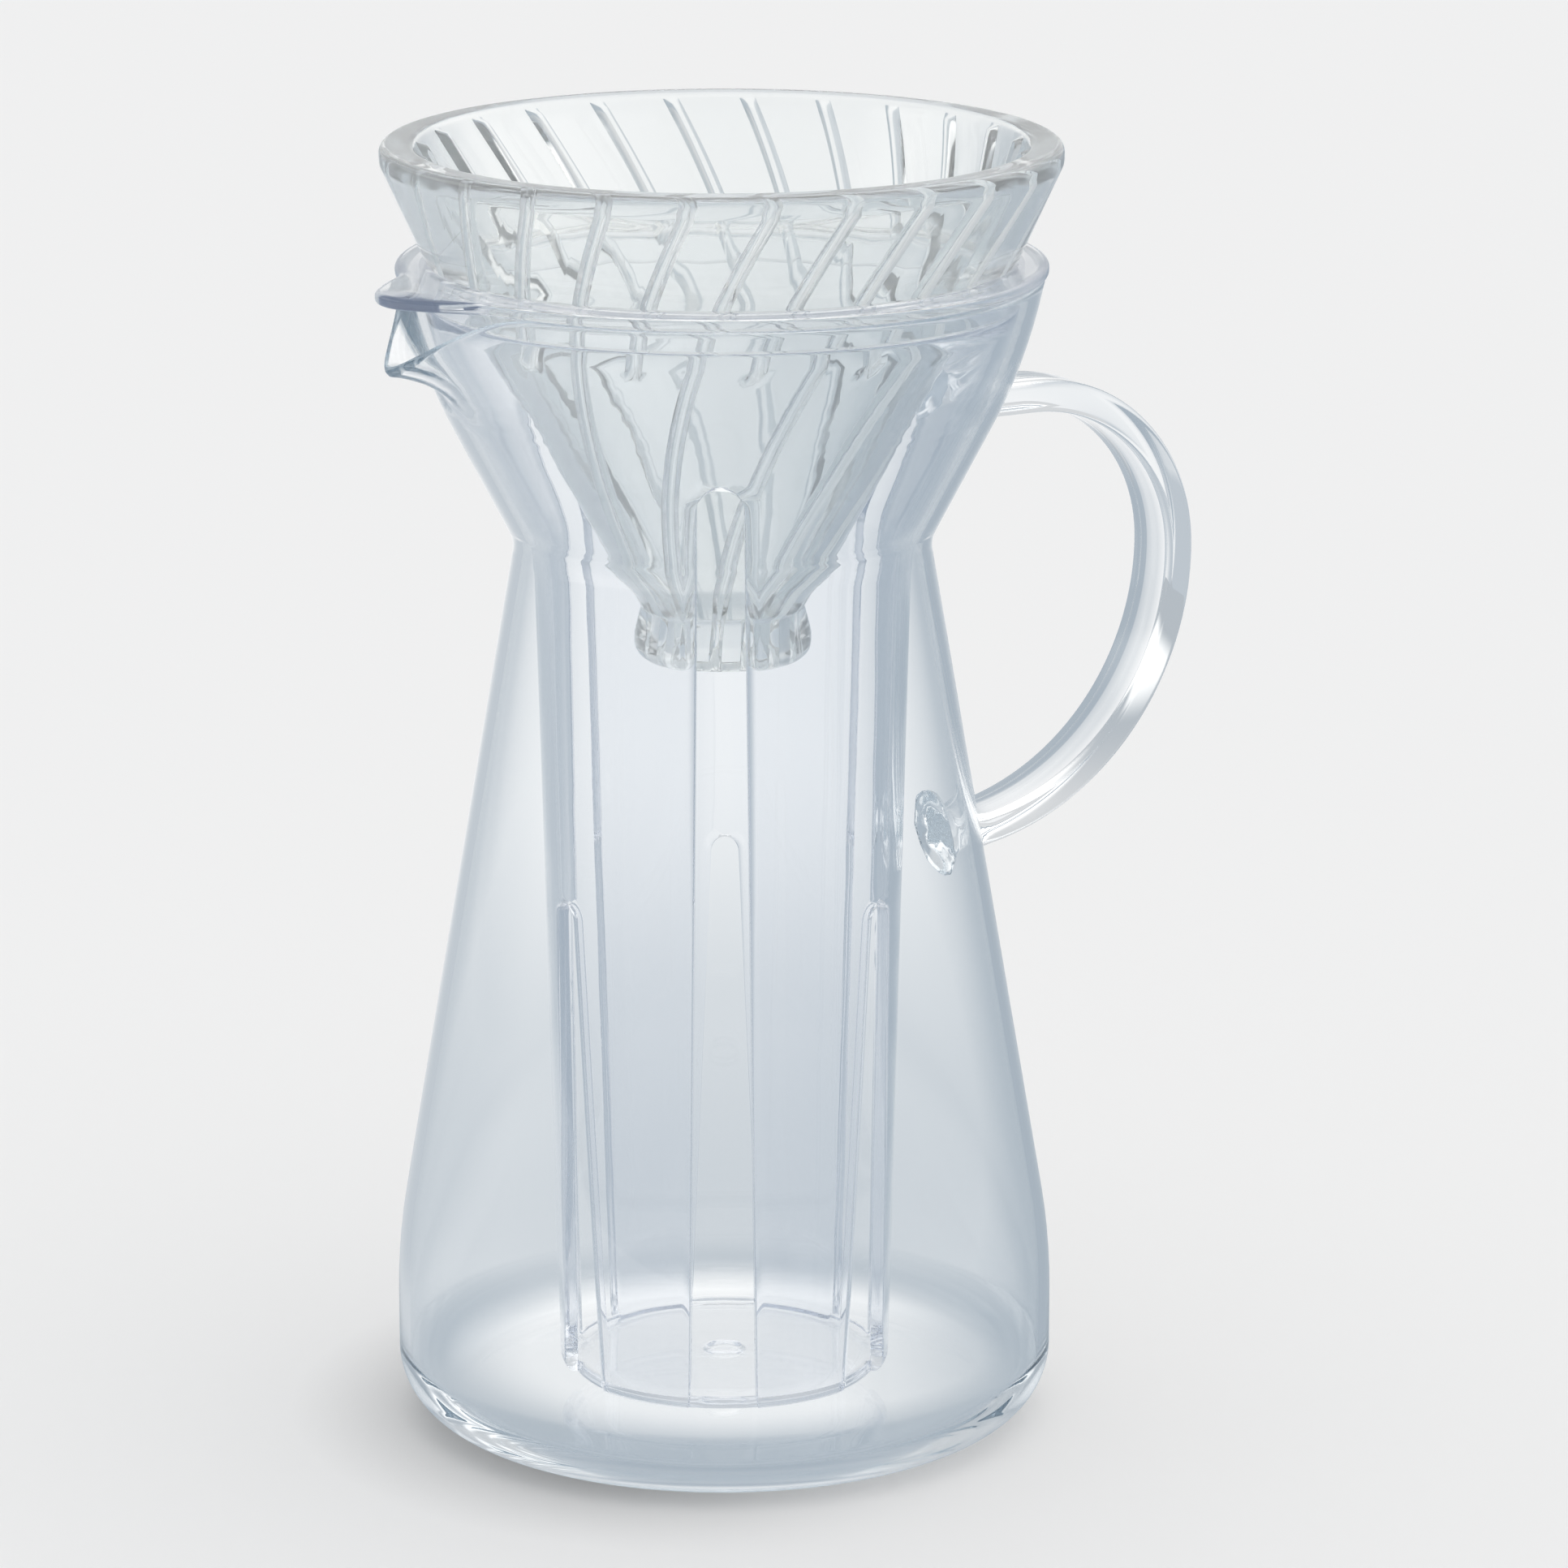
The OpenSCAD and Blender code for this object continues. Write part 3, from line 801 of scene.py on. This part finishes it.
def make_basket():
    rows = basket_rows()
    pieces = []
    for side in range(POSTS):
        pieces += [post(rows, side), floor_at_post(rows, side), floor_at_slot(side)]
    obj = joined("strainer_basket", pieces)
    apply_modifier(obj, "SOLIDIFY", thickness=STRAINER_WALL * MM, offset=-1, use_even_offset=True)
    shape(obj, finish_moulding)
    apply_modifier(obj, "BEVEL", width=SLOT_EDGE * MM, segments=SLOT_EDGE_ROWS, profile=SLOT_EDGE_PROFILE,
                   limit_method="ANGLE", angle_limit=math.radians(SLOT_EDGE_ANGLE))
    shade(obj, BASKET_CREASE)
    return obj


# Dripper

LEDGE_IN_R = HOLE_IN_COLLAR - CONE_GAP
LEDGE_Z = COLLAR_Z + LEDGE_LIFT
CONE_TOP_R = LEDGE_IN_R - CONE_WALL * math.hypot(1, CONE_LEAN)
BRIM_LEAN = (RIM_IN_R - CONE_TOP_R) / (RIM_Z - COLLAR_Z)
HOLE_Z = COLLAR_Z - (CONE_TOP_R - HOLE_R) / CONE_LEAN
NECK_R = OUTLET_R - OUTLET_BULGE
NECK_Z = OUTLET_Z + OUTLET_H
OUTLET_MID_Z = OUTLET_Z + OUTLET_H / 2


def dripper_outline():
    """The dripper's cross-section, from the outlet's hole round the outside and the rim back to the hole."""
    start = (HOLE_R, OUTLET_MID_Z, 0)
    corners = [
        start, (HOLE_R, OUTLET_Z, OUTLET_EDGE), (OUTLET_R, OUTLET_Z, OUTLET_BEND),
        (OUTLET_R, OUTLET_MID_Z, OUTLET_BEND), (NECK_R, NECK_Z, NECK_BEND),
        (LEDGE_IN_R, LEDGE_Z, LEDGE_BEND), (LEDGE_IN_R + LEDGE_W, LEDGE_Z, LEDGE_EDGE),
        (RIM_R, RIM_Z - RIM_BAND, RIM_BAND), (RIM_R, RIM_Z, RIM_BAND / 2), (RIM_IN_R, RIM_Z, RIM_BAND / 2),
        (CONE_TOP_R, COLLAR_Z, CONE_BEND), (HOLE_R, HOLE_Z, HOLE_BEND), start,
    ]
    return divided(rounded(corners, DRIPPER_BEND_STEP), lambda z: DRIPPER_ROW)


def inner_face(z):
    """Radius and lean of the cone's inner face at a height."""
    if z > COLLAR_Z:
        return RIM_IN_R - BRIM_LEAN * (RIM_Z - z), BRIM_LEAN
    if z > HOLE_Z:
        return CONE_TOP_R - CONE_LEAN * (COLLAR_Z - z), CONE_LEAN
    return HOLE_R, 0


def rounded_end(t):
    return math.sqrt(1 - (1 - clamped(t)) ** 2)


def press_ribs(p):
    """Winds the columns of the dripper along its ribs, and presses the ribs out of its inner face."""
    pitch = math.tau / RIBS
    columns = RIBS * RIB_COLUMNS
    r = math.hypot(p.x, p.y)
    rib, place = divmod(round(math.atan2(p.y, p.x) / math.tau * columns) % columns, RIB_COLUMNS)
    half = min(RIB_HALF_W / r, RIB_WIDEST * pitch)
    across = 1
    if place < len(RIB_ACROSS):
        across = RIB_ACROSS[place]
        turn = across * half
    else:
        turn = half + (pitch - 2 * half) * (place - len(RIB_ACROSS) + 1) / (RIB_BETWEEN + 1)
    turn += rib * pitch + math.radians(RIB_PHASE - RIB_TURN * (RIM_Z - p.z))
    z = p.z
    radius, lean = inner_face(z)
    if r < radius + FACE_ROOM and RIB_FOOT < z < RIB_TOP:
        foot = RIB_FOOT if rib % 2 == 0 else SHORT_RIB_FOOT
        high = RIB_H * (1 - abs(across) ** RIB_ROUNDNESS)
        high *= rounded_end((RIB_TOP - z) / RIB_TOP_L) * rounded_end((z - foot) / RIB_FOOT_L)
        slope = math.hypot(1, lean)
        r -= high / slope
        z += high * lean / slope
    return Vector((r * math.cos(turn), r * math.sin(turn), z))


def make_dripper():
    obj = lathe("dripper", dripper_outline(), RIBS * RIB_COLUMNS)
    shape(obj, press_ribs)
    shade(obj, DRIPPER_CREASE)
    return obj


# Shader nodes

class Value:
    """A shader socket that adds its Math nodes when it is used in an expression."""

    def __init__(self, nodes, socket):
        self.nodes = nodes
        self.socket = socket

    def math(self, operation, *values):
        return self.nodes.add("ShaderNodeMath", {"operation": operation}, dict(enumerate(values)))

    def __add__(self, other):
        return self.math("ADD", self, other)

    __radd__ = __add__

    def __sub__(self, other):
        return self.math("SUBTRACT", self, other)

    def __rsub__(self, other):
        return self.math("SUBTRACT", other, self)

    def __mul__(self, other):
        return self.math("MULTIPLY", self, other)

    __rmul__ = __mul__

    def __truediv__(self, other):
        return self.math("DIVIDE", self, other)

    def or_more(self, other):
        return self.math("MAXIMUM", self, other)

    def ramp(self, low, high):
        """Runs smoothly from 0 at low to 1 at high."""
        return self.nodes.add("ShaderNodeMapRange", {"interpolation_type": "SMOOTHSTEP"},
                              {0: self, 1: low, 2: high, 3: 0, 4: 1})


class Nodes:
    """A node tree, and one way to add any node to it."""

    def __init__(self, tree):
        self.tree = tree
        tree.nodes.clear()

    def add(self, kind, settings, sockets, output=0):
        node = self.tree.nodes.new(kind)
        for key, value in settings.items():
            setattr(node, key, value)
        for key, value in sockets.items():
            if isinstance(value, Value):
                self.tree.links.new(value.socket, node.inputs[key])
            else:
                node.inputs[key].default_value = value
        return Value(self, node.outputs[output]) if node.outputs else node


def new_material(name):
    material = bpy.data.materials.new(name)
    material.use_nodes = True
    return material, Nodes(material.node_tree)


def along(nodes, place, way):
    """How far a place lies along a direction."""
    return nodes.add("ShaderNodeVectorMath", {"operation": "DOT_PRODUCT"}, {0: place, 1: way}, "Value")


def blend(nodes, share, first, second):
    """A colour that goes from the first to the second as the share goes from 0 to 1."""
    return nodes.add("ShaderNodeMix", {"data_type": "RGBA"}, {0: share, 6: first, 7: second}, 2)


# Finishes

def clear_finish(name, tint, clear, ior, absorbed, density, wave, smudge):
    """A clear, tinted finish with a waviness of (scale, depth) and smudges of (least, most) roughness."""
    material, nodes = new_material(name)
    place = nodes.add("ShaderNodeTexCoord", {}, {}, "Object")
    waves = nodes.add("ShaderNodeTexNoise", {}, {"Vector": place, "Scale": wave[0], "Detail": WAVE_DETAIL})
    smear = nodes.add("ShaderNodeTexNoise", {}, {
        "Vector": place, "Scale": SMUDGE_SCALE, "Detail": SMUDGE_DETAIL})
    normal = nodes.add("ShaderNodeBump", {}, {"Strength": 1, "Distance": wave[1], "Height": waves})
    roughness = smudge[0] + (smudge[1] - smudge[0]) * smear.ramp(*SMUDGE_SPREAD)
    surface = nodes.add("ShaderNodeBsdfPrincipled", {}, {
        "Base Color": tint, "Roughness": roughness, "Normal": normal,
        "IOR": ior, "Transmission Weight": clear})
    light = nodes.add("ShaderNodeLightPath", {}, {}, "Is Shadow Ray")
    through = nodes.add("ShaderNodeBsdfTransparent", {}, {"Color": SHADOW_TINT})
    mixed = nodes.add("ShaderNodeMixShader", {}, {0: light, 1: surface, 2: through})
    body = nodes.add("ShaderNodeVolumeAbsorption", {}, {"Color": absorbed, "Density": density})
    nodes.add("ShaderNodeOutputMaterial", {}, {"Surface": mixed, "Volume": body})
    return material


# Stage

def make_floor():
    """Plain paper with a painted contact shadow; glass and gloss see a painted backdrop instead, which glows
    without shadow, white behind and under the object, with painted shade at its sides and a painted shadow
    round its foot.
    """
    bpy.ops.object.select_all(action="DESELECT")
    bpy.ops.mesh.primitive_plane_add(size=FLOOR_SIZE, location=(0, 0, -FLOOR_DROP))
    floor = bpy.context.object
    floor.name = floor.data.name = "floor"
    material, nodes = new_material("pale_paper")
    place = nodes.add("ShaderNodeTexCoord", {}, {}, "Object")
    far = nodes.add("ShaderNodeVectorMath", {"operation": "LENGTH"}, {0: place}, "Value")
    spot = nodes.add("ShaderNodeVectorMath", {"operation": "DISTANCE"}, {0: place, 1: SPOT}, "Value")
    across = along(nodes, place, RIGHT)
    off = across / (far + SIDE_SPREAD)
    back = along(nodes, place, AWAY) / (far + SIDE_SPREAD)
    # Painted cool shade to the object's right and left, which glass and gloss see
    sides = off.ramp(*RIGHT_SIDE) + LEFT_SHARE * ((0 - off).ramp(*LEFT_SIDE) * back.ramp(*LEFT_FRONT))
    # Painted shade round the object, darkest at its foot and nearer the object at its front, which glass and
    # gloss see
    foot = RING_SHARE + (1 - RING_SHARE) * (1 - far.ramp(*RING_FOOT))
    ring = spot.ramp(*RING_NEAR) * foot * (1 - far.ramp(*RING_FAR))
    # The painted backdrop: white where no painted shade lies, cool where it does
    painted_backdrop_colour = blend(nodes, sides.or_more(ring), FLOOR_WHITE, FLOOR_PAINTED_SHADE)
    painted_backdrop = nodes.add("ShaderNodeEmission", {}, {"Color": painted_backdrop_colour, "Strength": 1})
    # Painted contact shadow: the paper's own colour darkens near the object, mostly on its left
    open_air = nodes.add("ShaderNodeAmbientOcclusion", {"samples": CONTACT_SAMPLES},
                         {"Distance": CONTACT}, "AO")
    painted_contact_shadow = (1 - open_air) * (CONTACT_SHADE * (1 - across.ramp(*CONTACT_SIDE)))
    paper_with_painted_shadow = blend(nodes, painted_contact_shadow, FLOOR_COLOUR, PAINTED_SHADOW_COLOUR)
    paper = nodes.add("ShaderNodeBsdfDiffuse", {}, {"Color": paper_with_painted_shadow})
    reflected = nodes.add("ShaderNodeLightPath", {}, {}, "Is Glossy Ray")
    behind_glass = nodes.add("ShaderNodeLightPath", {}, {}, "Is Transmission Ray")
    mixed = nodes.add("ShaderNodeMixShader", {}, {0: reflected.or_more(behind_glass), 1: paper, 2: painted_backdrop})
    nodes.add("ShaderNodeOutputMaterial", {}, {"Surface": mixed})
    floor.data.materials.append(material)


def light_studio():
    """A dim, cool room with a large soft light overhead, a light to the left and a pale back wall."""
    world = bpy.data.worlds.new("studio")
    bpy.context.scene.world = world
    world.use_nodes = True
    nodes = Nodes(world.node_tree)
    lamp_way = Vector(RIGHT) * LAMP_RIGHT + Vector(AWAY) * LAMP_AWAY + Vector((0, 0, LAMP_UP))
    place = nodes.add("ShaderNodeTexCoord", {}, {}, "Generated")
    up = nodes.add("ShaderNodeSeparateXYZ", {}, {"Vector": place}, "Z")
    right = along(nodes, place, RIGHT)
    back = along(nodes, place, AWAY)
    overhead = along(nodes, place, tuple(lamp_way.normalized())).ramp(*LAMP_EDGE)
    beside = (0 - right).ramp(*SIDE_LAMP_EDGE) * up.ramp(*SIDE_LAMP_FOOT) * (1 - up.ramp(*SIDE_LAMP_TOP))
    sides = right.ramp(*ROOM_RIGHT) + ROOM_LEFT_SHARE * (0 - right).ramp(*ROOM_LEFT)
    front = ROOM_FRONT_SHARE * (0 - back).ramp(*ROOM_FRONT)
    room = blend(nodes, sides.or_more(front), ROOM_PALE, ROOM_COOL)
    lit = blend(nodes, beside, blend(nodes, overhead, room, LAMP), SIDE_LAMP)
    light = nodes.add("ShaderNodeBackground", {}, {"Color": lit, "Strength": ROOM_LEVEL})
    nodes.add("ShaderNodeOutputWorld", {}, {"Surface": light})


def place_camera():
    data = bpy.data.cameras.new("camera")
    data.lens = CAMERA_LENS
    data.sensor_width = CAMERA_SENSOR
    data.clip_end = CAMERA_SIGHT
    camera = bpy.data.objects.new("camera", data)
    bpy.context.collection.objects.link(camera)
    place = Vector(AWAY) * -CAMERA_BACK + Vector(RIGHT) * CAMERA_RIGHT + Vector((0, 0, CAMERA_H))
    camera.location = place * MM
    look = Vector(AWAY) * math.cos(CAMERA_TILT) - Vector((0, 0, math.sin(CAMERA_TILT)))
    camera.rotation_euler = look.to_track_quat("-Z", "Y").to_euler()
    bpy.context.scene.camera = camera


jug_glass = clear_finish(
    "jug_glass", tint=(0.985, 0.995, 1, 1), clear=1, ior=1.47,
    absorbed=(0.60, 0.69, 0.75, 1), density=3, wave=(24, 0.00002), smudge=(0.002, 0.012))
clear_plastic = clear_finish(
    "clear_plastic", tint=(0.985, 0.99, 1, 1), clear=1, ior=1.57,
    absorbed=(0.70, 0.74, 0.81, 1), density=7, wave=(45, 0.0001), smudge=(0.004, 0.02))
dripper_glass = clear_finish(
    "dripper_glass", tint=(0.985, 1, 0.995, 1), clear=0.89, ior=1.52,
    absorbed=(0.75, 0.83, 0.86, 1), density=2, wave=(70, 0.00012), smudge=(0.02, 0.05))

hand_in(make_jug(), "jug", "jug_glass", jug_glass, "jug_body")
hand_in(make_handle(), "jug", "jug_glass", jug_glass, "jug_handle")
hand_in(make_collar(), "strainer", "clear_plastic", clear_plastic, "strainer_collar")
hand_in(make_basket(), "strainer", "clear_plastic", clear_plastic, "strainer_basket")
hand_in(make_dripper(), "dripper", "dripper_glass", dripper_glass, "dripper")

make_floor()
light_studio()
place_camera()

scene = bpy.context.scene
scene.view_settings.view_transform = "Standard"
scene.cycles.max_bounces = GLASS_BOUNCES
scene.cycles.glossy_bounces = GLASS_BOUNCES
scene.cycles.transmission_bounces = GLASS_BOUNCES
scene.cycles.transparent_max_bounces = SHADOW_BOUNCES
scene.cycles.use_denoising = True
